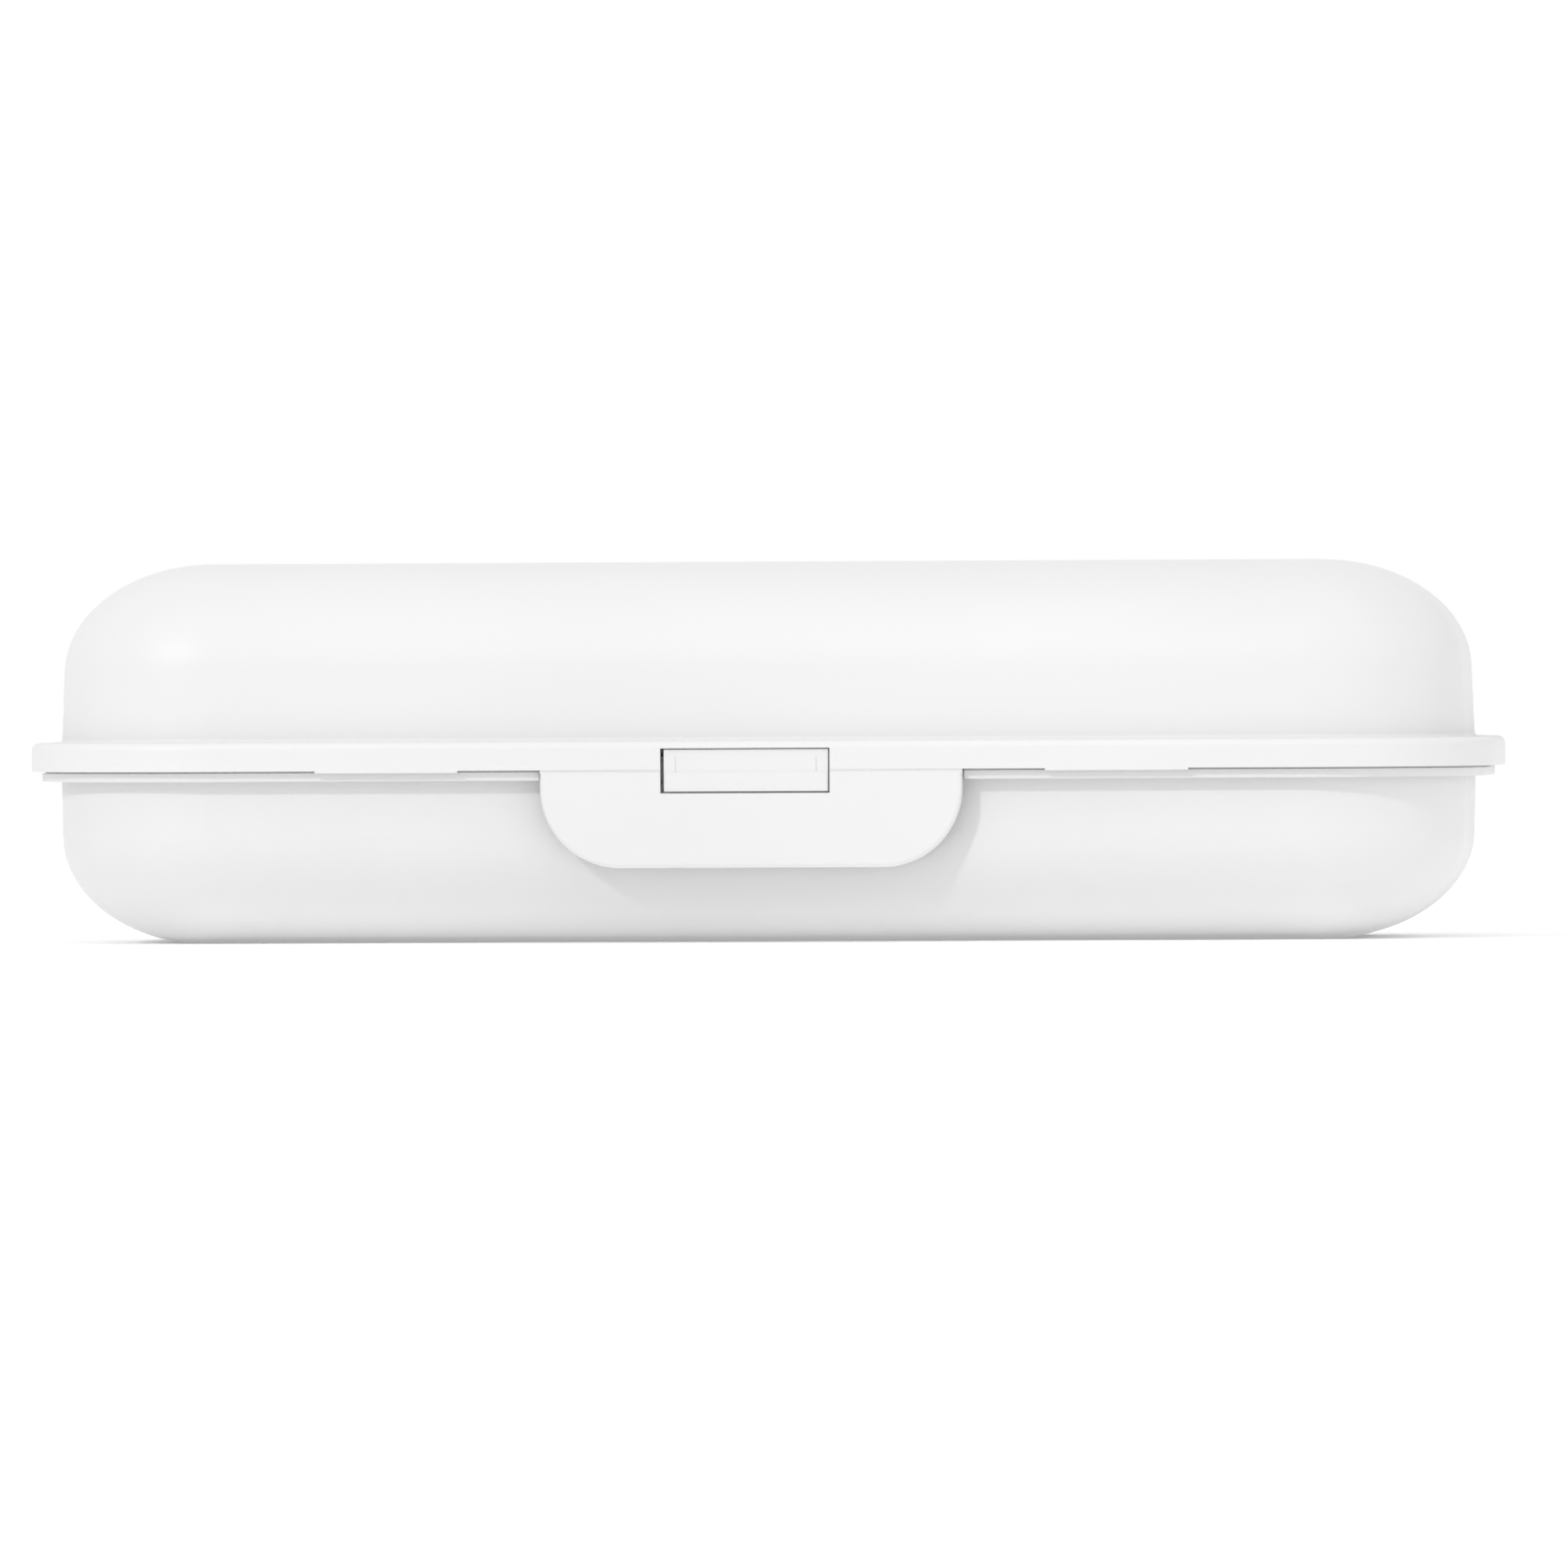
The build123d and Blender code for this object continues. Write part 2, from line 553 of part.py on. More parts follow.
def ribbon(x, route):
    """Flat flex lead that lies in the YZ plane, with rounded bends."""
    with BuildPart() as flex:
        with BuildSketch(Plane.YZ.offset(x[0])):
            with BuildLine() as path:
                FilletPolyline(*route, radius=1.5)
            trace(path.line, 0.3)
        extrude(amount=x[1] - x[0])
    return flex.part


BACK_OF_BOARD = BOARD_Y[1] + 0.15
ON_LAMP_BOARD = BOARD_BOTTOM + BOARD_THICK + 0.15
ON_BATTERY = BATTERY_BOTTOM + BATTERY_THICK + 0.15
DOWN_TO_BOARD = [(BACK_OF_BOARD, 45.5), (BACK_OF_BOARD, 41.5)]
with BuildPart() as battery_ribbon:
    add(ribbon((-30.0, -25.0), [(-16.0, ON_BATTERY), (10.0, ON_BATTERY), (32.0, 50.0)] + DOWN_TO_BOARD))
finish(battery_ribbon, "battery_ribbon")

with BuildPart() as lamp_ribbon:
    add(ribbon((38.0, 44.0), [(-2.0, ON_LAMP_BOARD), (12.0, ON_LAMP_BOARD), (32.0, 49.4)] + DOWN_TO_BOARD))
finish(lamp_ribbon, "lamp_ribbon")

# ---- charge inlet -------------------------------------------------------------------
SOCKET_FRONT = HALF_Y - 1.0
with BuildPart() as charge_socket:
    add(stadium(*SOCKET_OUTSIDE, (BOARD_Y[1], SOCKET_FRONT), SOCKET_Z))
    add(stadium(*SOCKET_MOUTH, (BOARD_Y[1] + 0.5, SOCKET_FRONT + 1), SOCKET_Z), mode=Mode.SUBTRACT)
finish(charge_socket, "charge_socket")

with BuildPart() as socket_tongue:
    add(block((-3.3, 3.3), (BOARD_Y[1] + 0.5, SOCKET_FRONT - 0.6), (SOCKET_Z - 0.35, SOCKET_Z + 0.35)))
finish(socket_tongue, "socket_tongue")

with BuildPart() as socket_gasket:
    add(stadium(11.6, 5.9, (HALF_Y - 3.8, HALF_Y - 2.7), SOCKET_Z))
    add(stadium(9.1, 3.4, (HALF_Y - 5, HALF_Y), SOCKET_Z), mode=Mode.SUBTRACT)
finish(socket_gasket, "socket_gasket")

# ---- power button -------------------------------------------------------------------
SWITCH_TOP = BOARD_BOTTOM + 3.4
CAP_BOTTOM = 54.3
with BuildPart() as status_light_ring:
    add(post(RING_R[1], 0, 0, (TOTAL_HEIGHT - 1.0, TOTAL_HEIGHT - 0.1)))
    add(post(RING_R[0], 0, 0, (50.0, 60.0)), mode=Mode.SUBTRACT)
finish(status_light_ring, "status_light_ring")

with BuildPart() as power_button:
    add(post(BUTTON_R, 0, 0, (CAP_BOTTOM, TOTAL_HEIGHT - 0.2)))
    fillet(power_button.edges().group_by(Axis.Z)[-1], 0.5)
    with Locations((0, 0, TOTAL_HEIGHT - 0.2 + 45.0)):
        Sphere(45.4, mode=Mode.SUBTRACT)
    add(post(BUTTON_R + 1.4, 0, 0, (CAP_BOTTOM, CAP_BOTTOM + 0.8)))
finish(power_button, "power_button")

with BuildPart() as switch_plunger:
    add(post(1.7, 0, 0, (SWITCH_TOP - BUTTON_TRAVEL, CAP_BOTTOM)))
finish(switch_plunger, "switch_plunger")

with BuildPart() as button_switch:
    add(block((-3.0, 3.0), (-3.0, 3.0), (BOARD_BOTTOM + BOARD_THICK, SWITCH_TOP)))
    well_floor = SWITCH_TOP - 2 * BUTTON_TRAVEL - 0.2
    add(post(2.0, 0, 0, (well_floor, SWITCH_TOP + 1)), mode=Mode.SUBTRACT)
finish(button_switch, "button_switch")
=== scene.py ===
"""Looks of a portable toothbrush sanitizer: finishes, moulded details, studio."""

import json
import math

import bmesh
import bpy
from mathutils import Matrix, Vector


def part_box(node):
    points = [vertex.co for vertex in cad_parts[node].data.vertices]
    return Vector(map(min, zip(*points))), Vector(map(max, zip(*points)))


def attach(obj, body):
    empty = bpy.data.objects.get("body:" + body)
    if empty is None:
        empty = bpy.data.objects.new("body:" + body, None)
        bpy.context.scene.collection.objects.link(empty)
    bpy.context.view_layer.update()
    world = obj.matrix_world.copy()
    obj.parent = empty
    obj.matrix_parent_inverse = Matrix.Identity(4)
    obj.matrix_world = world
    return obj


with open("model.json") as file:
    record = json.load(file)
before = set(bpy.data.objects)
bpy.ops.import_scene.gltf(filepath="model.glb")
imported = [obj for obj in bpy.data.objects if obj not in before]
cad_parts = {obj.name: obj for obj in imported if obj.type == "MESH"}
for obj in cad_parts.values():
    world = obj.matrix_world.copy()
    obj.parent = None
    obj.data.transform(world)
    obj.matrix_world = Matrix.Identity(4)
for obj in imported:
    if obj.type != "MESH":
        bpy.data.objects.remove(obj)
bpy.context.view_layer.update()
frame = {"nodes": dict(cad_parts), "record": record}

MM = 0.001

# ---- studio -------------------------------------------------------------------------
VIEW_AZIMUTH = math.radians(3.71)  # the camera stands a little towards +X
VIEW_HEIGHT = math.radians(0.35)
VIEW_ROLL = math.radians(-0.28)
VIEW_DISTANCE = 4.0
LENS = 604.3  # focal length and sensor width in millimetres
SENSOR = 36.0
AIM_Z = 28 * MM  # the camera looks at this height over the origin, then shifted
AIM_RIGHT = 1.98 * MM
AIM_DOWN = 4.45 * MM
GROUND_HALF = 12.0  # half the side of the ground, in metres
SUNS = {  # name: direction from the box to the light, strength, spread in degrees
    "key_light": ((-0.60, -1.0, 0.65), 0.80, 3.0),
    "low_fill": ((0.0, 0.35, -1.0), 0.68, 30.0),
    "foot_fill": ((0.0, 1.0, -1.0), 0.28, 30.0),
    "top_fill": ((0.0, -0.30, 1.0), 0.32, 60.0),
    "right_fill": ((1.0, -0.55, 0.10), 0.30, 60.0),
}


def make_camera():
    """Long lens almost level with the box, from a little to the right of its front."""
    away = Vector((
        math.sin(VIEW_AZIMUTH) * math.cos(VIEW_HEIGHT),
        -math.cos(VIEW_AZIMUTH) * math.cos(VIEW_HEIGHT),
        math.sin(VIEW_HEIGHT),
    ))
    right = Vector((math.cos(VIEW_AZIMUTH), math.sin(VIEW_AZIMUTH), 0))
    up = away.cross(right)
    aim = Vector((0, 0, AIM_Z)) + right * AIM_RIGHT - up * AIM_DOWN
    data = bpy.data.cameras.new("camera")
    data.sensor_width = SENSOR
    data.lens = LENS
    data.clip_end = 100
    camera = bpy.data.objects.new("camera", data)
    bpy.context.scene.collection.objects.link(camera)
    turn = Matrix((right, up, away)).transposed().to_4x4()
    camera.matrix_world = (
        Matrix.Translation(aim + away * VIEW_DISTANCE) @ turn @ Matrix.Rotation(VIEW_ROLL, 4, "Z")
    )
    bpy.context.scene.camera = camera


def make_sun(name, towards, strength, spread):
    """Even light from one direction; towards points from the box to the light."""
    data = bpy.data.lights.new(name, "SUN")
    data.energy = strength
    data.angle = math.radians(spread)
    lamp = bpy.data.objects.new(name, data)
    bpy.context.scene.collection.objects.link(lamp)
    lamp.rotation_euler = Vector(towards).to_track_quat("Z", "Y").to_euler()


def make_studio():
    """White ground, even white surround, a key from the upper left and weak fills."""
    world = bpy.data.worlds.new("surround")
    bpy.context.scene.world = world
    world.use_nodes = True
    background = world.node_tree.nodes["Background"]
    background.inputs["Color"].default_value = (1, 1, 1, 1)
    background.inputs["Strength"].default_value = 1.0
    for name, (towards, strength, spread) in SUNS.items():
        make_sun(name, towards, strength, spread)

    ground = bmesh.new()
    bmesh.ops.create_grid(ground, x_segments=1, y_segments=1, size=GROUND_HALF)
    mesh = bpy.data.meshes.new("ground")
    ground.to_mesh(mesh)
    ground.free()
    floor = bpy.data.objects.new("ground", mesh)
    bpy.context.scene.collection.objects.link(floor)
    floor.data.materials.append(plain_finish("ground_white", (0.97, 0.97, 0.97), 0.7))
    floor.visible_shadow = False  # the fills from below reach the underside through the ground
    bpy.context.scene.view_settings.view_transform = "Standard"


# ---- finishes -----------------------------------------------------------------------
def new_material(name, roughness, metallic=0.0):
    """Empty material: its node tree and its principled shader."""
    material = bpy.data.materials.new(name)
    material.use_nodes = True
    tree = material.node_tree
    shader = tree.nodes["Principled BSDF"]
    shader.inputs["Roughness"].default_value = roughness
    shader.inputs["Metallic"].default_value = metallic
    return material, tree, shader


def plain_finish(name, colour, roughness):
    """One even colour, for the ground."""
    material, _, shader = new_material(name, roughness)
    shader.inputs["Base Color"].default_value = (*colour, 1)
    return material


def node(tree, kind, **values):
    """Adds a node; values name its inputs, with spaces as underscores."""
    made = tree.nodes.new(kind)
    for name, value in values.items():
        made.inputs[name.replace("_", " ")].default_value = value
    return made


def grain(tree, scale, detail=3.0, stretch=(1, 1, 1)):
    """Noise on the piece's own coordinates; scale counts features per metre."""
    place = tree.nodes.new("ShaderNodeTexCoord")
    spread = node(tree, "ShaderNodeMapping", Scale=stretch)
    noise = node(tree, "ShaderNodeTexNoise", Scale=scale, Detail=detail)
    tree.links.new(place.outputs["Object"], spread.inputs["Vector"])
    tree.links.new(spread.outputs["Vector"], noise.inputs["Vector"])
    return noise.outputs["Fac"]


def colour_between(tree, factor, low, high, start=0.35, stop=0.65):
    """Colour ramp from low to high over the middle of a pattern."""
    ramp = tree.nodes.new("ShaderNodeValToRGB")
    ramp.color_ramp.elements[0].position = start
    ramp.color_ramp.elements[0].color = (*low, 1)
    ramp.color_ramp.elements[1].position = stop
    ramp.color_ramp.elements[1].color = (*high, 1)
    tree.links.new(factor, ramp.inputs["Fac"])
    return ramp.outputs["Color"]


def value_between(tree, factor, low, high):
    """Number that follows a pattern between two limits."""
    spread = node(tree, "ShaderNodeMapRange", To_Min=low, To_Max=high)
    tree.links.new(factor, spread.inputs["Value"])
    return spread.outputs["Result"]


def relief(tree, factor, depth, under=None):
    """Bump of a pattern, depth in metres, on top of an earlier bump."""
    bump = node(tree, "ShaderNodeBump", Strength=1.0, Distance=depth)
    tree.links.new(factor, bump.inputs["Height"])
    if under:
        tree.links.new(under, bump.inputs["Normal"])
    return bump.outputs["Normal"]


def moulded_plastic(name, colour, roughness, tooth=2600, depth=0.006 * MM, spread=0.012):
    """Injection-moulded plastic: fine eroded tooth, faint flow clouding, uneven gloss."""
    material, tree, shader = new_material(name, roughness)
    clouds = grain(tree, 28, 2.0, (0.4, 1, 1))
    tooth_pattern = grain(tree, tooth, 4.0)
    light = [min(1, c + spread) for c in colour]
    dark = [c - spread for c in colour]
    tree.links.new(colour_between(tree, clouds, dark, light), shader.inputs["Base Color"])
    tree.links.new(
        value_between(tree, tooth_pattern, roughness - 0.08, roughness + 0.08),
        shader.inputs["Roughness"],
    )
    flow = relief(tree, clouds, 0.05 * MM)
    tree.links.new(relief(tree, tooth_pattern, depth, flow), shader.inputs["Normal"])
    return material


def silicone(name, colour):
    """Soft matt rubber with a talc-like mottling."""
    material, tree, shader = new_material(name, 0.62)
    mottle = grain(tree, 900, 5.0)
    light = [c * 1.08 for c in colour]
    dark = [c * 0.92 for c in colour]
    tree.links.new(colour_between(tree, mottle, dark, light), shader.inputs["Base Color"])
    tree.links.new(value_between(tree, mottle, 0.55, 0.72), shader.inputs["Roughness"])
    tree.links.new(relief(tree, mottle, 0.01 * MM), shader.inputs["Normal"])
    shader.inputs["Sheen Weight"].default_value = 0.2
    return material


def drawn_metal(name, colour, roughness, stretch=(0.02, 1, 1)):
    """Metal with fine drawing lines along one axis."""
    material, tree, shader = new_material(name, roughness, 1.0)
    lines = grain(tree, 9000, 2.0, stretch)
    light = [min(1, c * 1.1) for c in colour]
    dark = [c * 0.85 for c in colour]
    tree.links.new(colour_between(tree, lines, dark, light), shader.inputs["Base Color"])
    tree.links.new(value_between(tree, lines, roughness * 0.7, roughness * 1.4), shader.inputs["Roughness"])
    tree.links.new(relief(tree, lines, 0.003 * MM), shader.inputs["Normal"])
    return material


def clear_pane(name):
    """Fused quartz pane with a trace of haze."""
    material, tree, shader = new_material(name, 0.03)
    haze = grain(tree, 300, 3.0)
    tree.links.new(
        colour_between(tree, haze, (0.90, 0.94, 1.0), (0.96, 0.98, 1.0)), shader.inputs["Base Color"]
    )
    tree.links.new(value_between(tree, haze, 0.02, 0.06), shader.inputs["Roughness"])
    shader.inputs["Transmission Weight"].default_value = 1.0
    shader.inputs["IOR"].default_value = 1.46
    return material


def frosted_ring(name):
    """Milky diffuser."""
    material, tree, shader = new_material(name, 0.4)
    milk = grain(tree, 1500, 4.0)
    tree.links.new(
        colour_between(tree, milk, (0.62, 0.70, 0.76), (0.70, 0.77, 0.82)), shader.inputs["Base Color"]
    )
    tree.links.new(relief(tree, milk, 0.004 * MM), shader.inputs["Normal"])
    shader.inputs["Subsurface Weight"].default_value = 0.3
    shader.inputs["Subsurface Scale"].default_value = 0.001
    return material


def circuit_board(name, mask, copper):
    """Solder mask over copper tracks that run in steps across the board."""
    material, tree, shader = new_material(name, 0.35)
    place = tree.nodes.new("ShaderNodeTexCoord")
    turn = node(tree, "ShaderNodeMapping", Rotation=(math.radians(90), 0, 0))
    bricks = node(
        tree, "ShaderNodeTexBrick", Scale=260.0, Mortar_Size=0.012, Color1=(*mask, 1),
        Color2=(*[c * 0.8 for c in mask], 1), Mortar=(*copper, 1),
    )
    tree.links.new(place.outputs["Object"], turn.inputs["Vector"])
    tree.links.new(turn.outputs["Vector"], bricks.inputs["Vector"])
    tree.links.new(bricks.outputs["Color"], shader.inputs["Base Color"])
    tree.links.new(relief(tree, bricks.outputs["Fac"], 0.02 * MM), shader.inputs["Normal"])
    return material


FINISHES = {
    "shell_white": moulded_plastic("shell_white", (0.66, 0.66, 0.659), 0.46),
    "tray_grey": moulded_plastic("tray_grey", (0.60, 0.615, 0.63), 0.50, 1800),
    "panel_white": moulded_plastic("panel_white", (0.74, 0.74, 0.74), 0.28, 1200, 0.002 * MM),
    "button_white": moulded_plastic("button_white", (0.70, 0.70, 0.70), 0.40),
    "silicone_grey": silicone("silicone_grey", (0.33, 0.36, 0.38)),
    "seal_grey": silicone("seal_grey", (0.52, 0.53, 0.54)),
    "pin_steel": drawn_metal("pin_steel", (0.60, 0.60, 0.60), 0.28),
    "screw_steel": drawn_metal("screw_steel", (0.55, 0.55, 0.56), 0.32, (1, 1, 0.05)),
    "socket_steel": drawn_metal("socket_steel", (0.62, 0.62, 0.63), 0.30, (1, 0.02, 1)),
    "reflector_aluminium": drawn_metal("reflector_aluminium", (0.86, 0.86, 0.87), 0.12),
    "magnet_nickel": drawn_metal("magnet_nickel", (0.70, 0.69, 0.67), 0.18, (1, 1, 1)),
    "tongue_black": moulded_plastic("tongue_black", (0.03, 0.03, 0.03), 0.45, 3000, spread=0.006),
    "chip_black": moulded_plastic("chip_black", (0.035, 0.035, 0.038), 0.6, 4000, spread=0.008),
    "window_clear": clear_pane("window_clear"),
    "light_ring": frosted_ring("light_ring"),
    "lamp_ceramic": moulded_plastic("lamp_ceramic", (0.80, 0.66, 0.30), 0.35, 3000),
    "board_white": circuit_board("board_white", (0.78, 0.79, 0.78), (0.68, 0.69, 0.66)),
    "board_green": circuit_board("board_green", (0.03, 0.18, 0.09), (0.10, 0.30, 0.14)),
    "cell_wrap": moulded_plastic("cell_wrap", (0.36, 0.38, 0.41), 0.35, 700, 0.02 * MM),
    "foam_black": silicone("foam_black", (0.05, 0.05, 0.05)),
    "ribbon_amber": moulded_plastic("ribbon_amber", (0.50, 0.26, 0.05), 0.30, 1500),
}


def dress_nodes():
    """Every CAD node takes the finish of its slot."""
    for part in frame["record"]["subparts"]:
        mesh = frame["nodes"][part["node"]].data
        mesh.materials.clear()
        mesh.materials.append(FINISHES[part["material_slot"]])


# ---- moulded and fitted details -----------------------------------------------------
def join(shape, part):
    """Adds a small finished bmesh to a larger one."""
    mesh = bpy.data.meshes.new("part")
    part.to_mesh(mesh)
    part.free()
    shape.from_mesh(mesh)
    bpy.data.meshes.remove(mesh)


def new_piece(name, shape, body, slot, sharp=35.0):
    """Turns a bmesh into an object that rides on a body in the finish of a slot."""
    bmesh.ops.recalc_face_normals(shape, faces=shape.faces)
    mesh = bpy.data.meshes.new(name)
    shape.to_mesh(mesh)
    shape.free()
    mesh.shade_smooth()
    mesh.set_sharp_from_angle(angle=math.radians(sharp))
    mesh.materials.append(FINISHES[slot])
    piece = bpy.data.objects.new(name, mesh)
    bpy.context.scene.collection.objects.link(piece)
    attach(piece, body)


def middle(node_name):
    """Centre of a node's box at rest."""
    low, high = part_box(node_name)
    return (Vector(low) + Vector(high)) / 2


def soft_block(low, high, edge, steps=2):
    """Block between two corners with every edge rounded."""
    part = bmesh.new()
    bmesh.ops.create_cube(part, size=1.0)
    bmesh.ops.scale(part, vec=Vector(high) - Vector(low), verts=part.verts)
    bmesh.ops.translate(part, vec=(Vector(low) + Vector(high)) / 2, verts=part.verts)
    bmesh.ops.bevel(
        part, geom=part.edges[:], offset=edge, offset_type="OFFSET", affect="EDGES",
        segments=steps, profile=0.5, material=-1,
    )
    return part


def outline_band(centre, size, corner, band, low, high, edge):
    """Raised band round a rounded rectangle; size is its outside, corner its outer radius."""
    part = bmesh.new()
    bmesh.ops.create_grid(part, x_segments=1, y_segments=1, size=0.5)
    bmesh.ops.scale(part, vec=(*size, 1), verts=part.verts)
    bmesh.ops.bevel(
        part, geom=part.verts[:], offset=corner, offset_type="OFFSET", affect="VERTICES",
        segments=12, profile=0.5, material=-1,
    )
    plate = part.faces[:]
    bmesh.ops.inset_region(part, faces=plate, thickness=band, use_boundary=True, use_even_offset=True)
    bmesh.ops.delete(part, geom=plate, context="FACES")
    bmesh.ops.solidify(part, geom=part.faces[:], thickness=high - low)
    bottom = min(v.co.z for v in part.verts)
    bmesh.ops.translate(part, vec=(*centre, low - bottom), verts=part.verts)
    part.normal_update()
    rim = [
        line for line in part.edges
        if min(v.co.z for v in line.verts) > high - 0.01 * MM
        and any(abs(face.normal.z) < 0.5 for face in line.link_faces)
    ]
    bmesh.ops.bevel(
        part, geom=rim, offset=edge, offset_type="OFFSET", affect="EDGES",
        segments=3, profile=0.5, material=-1,
    )
    return part


def dome(radius, height, centre, turn=None):
    """Half ball flattened to a height, closed underneath, standing up or turned."""
    part = bmesh.new()
    bmesh.ops.create_uvsphere(part, u_segments=24, v_segments=12, radius=radius)
    everything = part.verts[:] + part.edges[:] + part.faces[:]
    bmesh.ops.bisect_plane(
        part, geom=everything, dist=0.001 * MM, plane_co=(0, 0, 0), plane_no=(0, 0, -1), clear_outer=True
    )
    bmesh.ops.holes_fill(part, edges=[line for line in part.edges if line.is_boundary], sides=0)
    bmesh.ops.scale(part, vec=(1, 1, height / radius), verts=part.verts)
    if turn:
        bmesh.ops.rotate(part, matrix=turn, verts=part.verts)
    bmesh.ops.translate(part, vec=centre, verts=part.verts)
    return part


HANDLE_BAY_Y = middle("handle_rest_left").y
HEAD_BAY_LEFT = middle("head_rest_left")
HANDLE_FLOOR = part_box("handle_rest_left")[0][2]
HEAD_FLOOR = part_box("head_rest_left")[0][2]
HANDLE_BAY_SIZE = (196 * MM, 35 * MM)
HEAD_BAY_SIZE = (86 * MM, 27 * MM)
BAY_CORNER = 12 * MM
PANEL_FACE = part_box("panel_screws")[0][2] - 0.1 * MM
BOARD_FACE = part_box("lamp_board")[0][2]
LAMP_PITCH = 24 * MM
LAMP_PLACES = range(-2, 3)  # in steps of the pitch from the middle of the row


def drain_ribs():
    """Low ribs on the floors of the three bays, so that a wet brush dries from below."""
    shape = bmesh.new()
    pitch, half_rib, sunk, proud = 7 * MM, 0.7 * MM, 0.2 * MM, 0.9 * MM
    floors = [(0.0, HANDLE_BAY_Y, HANDLE_FLOOR, 6, 8.5 * MM)]
    for side in (-1, 1):
        floors.append((-side * HEAD_BAY_LEFT.x, HEAD_BAY_LEFT.y, HEAD_FLOOR, 2, 4.8 * MM))
    for x, y, floor, count, reach in floors:
        for step in range(-count, count + 1):
            at = x + step * pitch
            low = (at - half_rib, y - reach, floor - sunk)
            join(shape, soft_block(low, (at + half_rib, y + reach, floor + proud), 0.4 * MM, 3))
    new_piece("drain_ribs", shape, "base", "tray_grey")


def bay_rims():
    """Rolled rim round the mouth of each bay."""
    shape = bmesh.new()
    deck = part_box("base_tray")[1][2]
    outside, band = 1.4 * MM, 1.6 * MM
    mouths = [((0.0, HANDLE_BAY_Y), HANDLE_BAY_SIZE)]
    for side in (-1, 1):
        mouths.append(((side * HEAD_BAY_LEFT.x, HEAD_BAY_LEFT.y), HEAD_BAY_SIZE))
    for centre, (length, width) in mouths:
        size = (length + 2 * outside, width + 2 * outside)
        low, high = deck - 0.3 * MM, deck + 0.45 * MM
        join(shape, outline_band(centre, size, BAY_CORNER + outside, band, low, high, 0.4 * MM))
    new_piece("bay_rims", shape, "base", "tray_grey")


def window_bezel():
    """Raised frame round the lamp window on the underside of the lid's panel."""
    size, corner, band = (141 * MM, 17 * MM), 3.2 * MM, 2.4 * MM
    sunk, proud, edge = 0.3 * MM, 0.8 * MM, 0.5 * MM
    # made upright below the ground and turned over, so that its soft edge faces down
    shape = outline_band((0, 0), size, corner, band, -PANEL_FACE - sunk, -PANEL_FACE + proud, edge)
    bmesh.ops.rotate(shape, matrix=Matrix.Rotation(math.pi, 3, "X"), verts=shape.verts)
    new_piece("window_bezel", shape, "lid", "panel_white")


def lamp_details():
    """Quartz lens under each lamp, and the resistors between them on the board."""
    lenses, resistors, caps = bmesh.new(), bmesh.new(), bmesh.new()
    lamp_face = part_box("uv_lamps")[0][2]
    upside_down = Matrix.Rotation(math.pi, 3, "X")
    radius, depth, sunk = 1.2 * MM, 1.0 * MM, 0.05 * MM
    for place in LAMP_PLACES:
        join(lenses, dome(radius, depth, (place * LAMP_PITCH, 0, lamp_face + sunk), upside_down))
    half_length, half_width, thick, cap = 1.0 * MM, 0.6 * MM, 0.5 * MM, 0.4 * MM
    inner = half_length - cap
    for place in LAMP_PLACES[:-1]:
        x = (place + 0.5) * LAMP_PITCH
        low, high = (x - inner, -half_width, BOARD_FACE - thick), (x + inner, half_width, BOARD_FACE)
        join(resistors, soft_block(low, high, 0.05 * MM))
        for end in (-1, 1):
            near, far = sorted((x + end * inner, x + end * half_length))
            low, high = (near, -half_width, BOARD_FACE - 1.06 * thick), (far, half_width, BOARD_FACE)
            join(caps, soft_block(low, high, 0.08 * MM))
    new_piece("lamp_lenses", lenses, "lid", "window_clear")
    new_piece("resistor_bodies", resistors, "lid", "chip_black")
    new_piece("resistor_caps", caps, "lid", "socket_steel")


def pin_heads():
    """Low round head on both ends of each hinge pin."""
    shape = bmesh.new()
    radius, thick = 1.8 * MM, 0.7 * MM
    for name in ("hinge_pin_left", "hinge_pin_right"):
        low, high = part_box(name)
        axis = middle(name)
        for end, x in ((-1, low[0]), (1, high[0])):
            outward = Matrix.Rotation(end * math.pi / 2, 3, "Y")
            join(shape, dome(radius, thick, (x, axis.y, axis.z), outward))
    new_piece("pin_heads", shape, "base", "pin_steel")


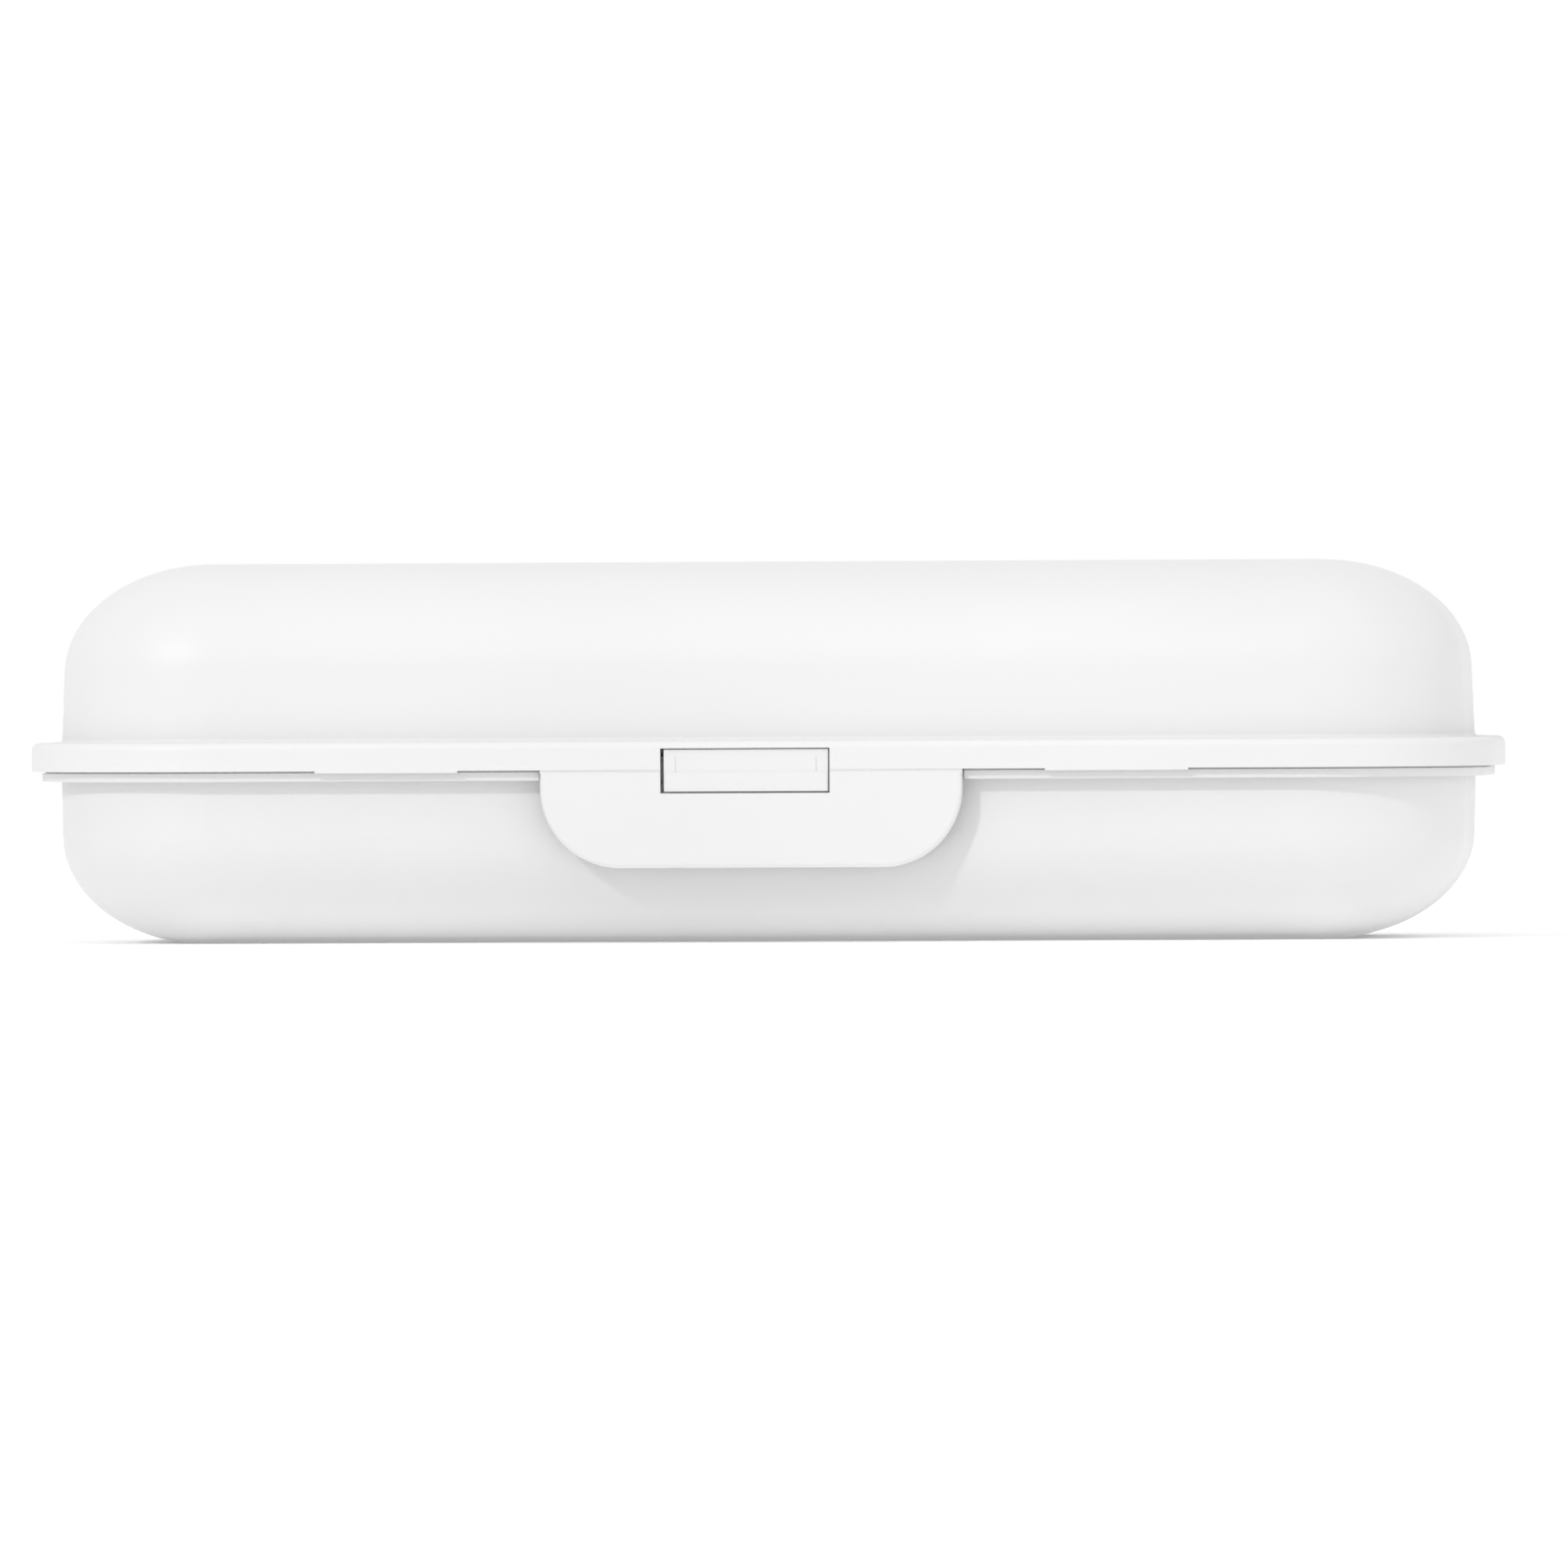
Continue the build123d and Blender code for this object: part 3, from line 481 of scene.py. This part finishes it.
def inlet_contacts():
    """Flat contact strips on both faces of the charge inlet's tongue."""
    shape = bmesh.new()
    low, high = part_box("socket_tongue")
    length, half_width, proud, pitch = 2.6 * MM, 0.15 * MM, 0.04 * MM, 0.5 * MM
    from_tip, edge = 0.3 * MM, 0.02 * MM
    for level in (low[2], high[2]):
        for step in range(-5, 6, 2):
            x = step * pitch
            start = (x - half_width, high[1] - length, level - proud)
            stop = (x + half_width, high[1] - from_tip, level + proud)
            join(shape, soft_block(start, stop, edge, 1))
    new_piece("inlet_contacts", shape, "lid", "socket_steel")


def power_mark():
    """Raised on-off sign in the dish of the button: an open ring with a bar in its gap."""
    mark = bmesh.new()
    dish_depth, edge = 0.4 * MM, 0.06 * MM
    bar_start, bar_stop = 0.9 * MM, 3.0 * MM
    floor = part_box("power_button")[1][2] - dish_depth
    radius, half_width, height, gap = 2.2 * MM, 0.26 * MM, 0.26 * MM, 70.0
    bmesh.ops.create_grid(mark, x_segments=1, y_segments=1, size=0.5)
    bmesh.ops.scale(mark, vec=(2 * half_width, height, 1), verts=mark.verts)
    bmesh.ops.rotate(mark, matrix=Matrix.Rotation(math.pi / 2, 3, "X"), verts=mark.verts)
    bmesh.ops.translate(mark, vec=(radius, 0, floor), verts=mark.verts)
    start = Matrix.Rotation(math.radians(90 + gap / 2), 3, "Z")
    bmesh.ops.rotate(mark, matrix=start, verts=mark.verts)
    bmesh.ops.spin(
        mark, geom=mark.verts[:] + mark.edges[:] + mark.faces[:], cent=(0, 0, 0), axis=(0, 0, 1),
        angle=math.radians(360 - gap), steps=40, use_merge=False,
    )
    bmesh.ops.holes_fill(mark, edges=[line for line in mark.edges if line.is_boundary], sides=0)
    low = (-half_width, bar_start, floor - height / 2)
    join(mark, soft_block(low, (half_width, bar_stop, floor + height / 2), edge))
    new_piece("power_mark", mark, "button", "silicone_grey")


dress_nodes()
drain_ribs()
bay_rims()
window_bezel()
lamp_details()
pin_heads()
inlet_contacts()
power_mark()
make_camera()
make_studio()
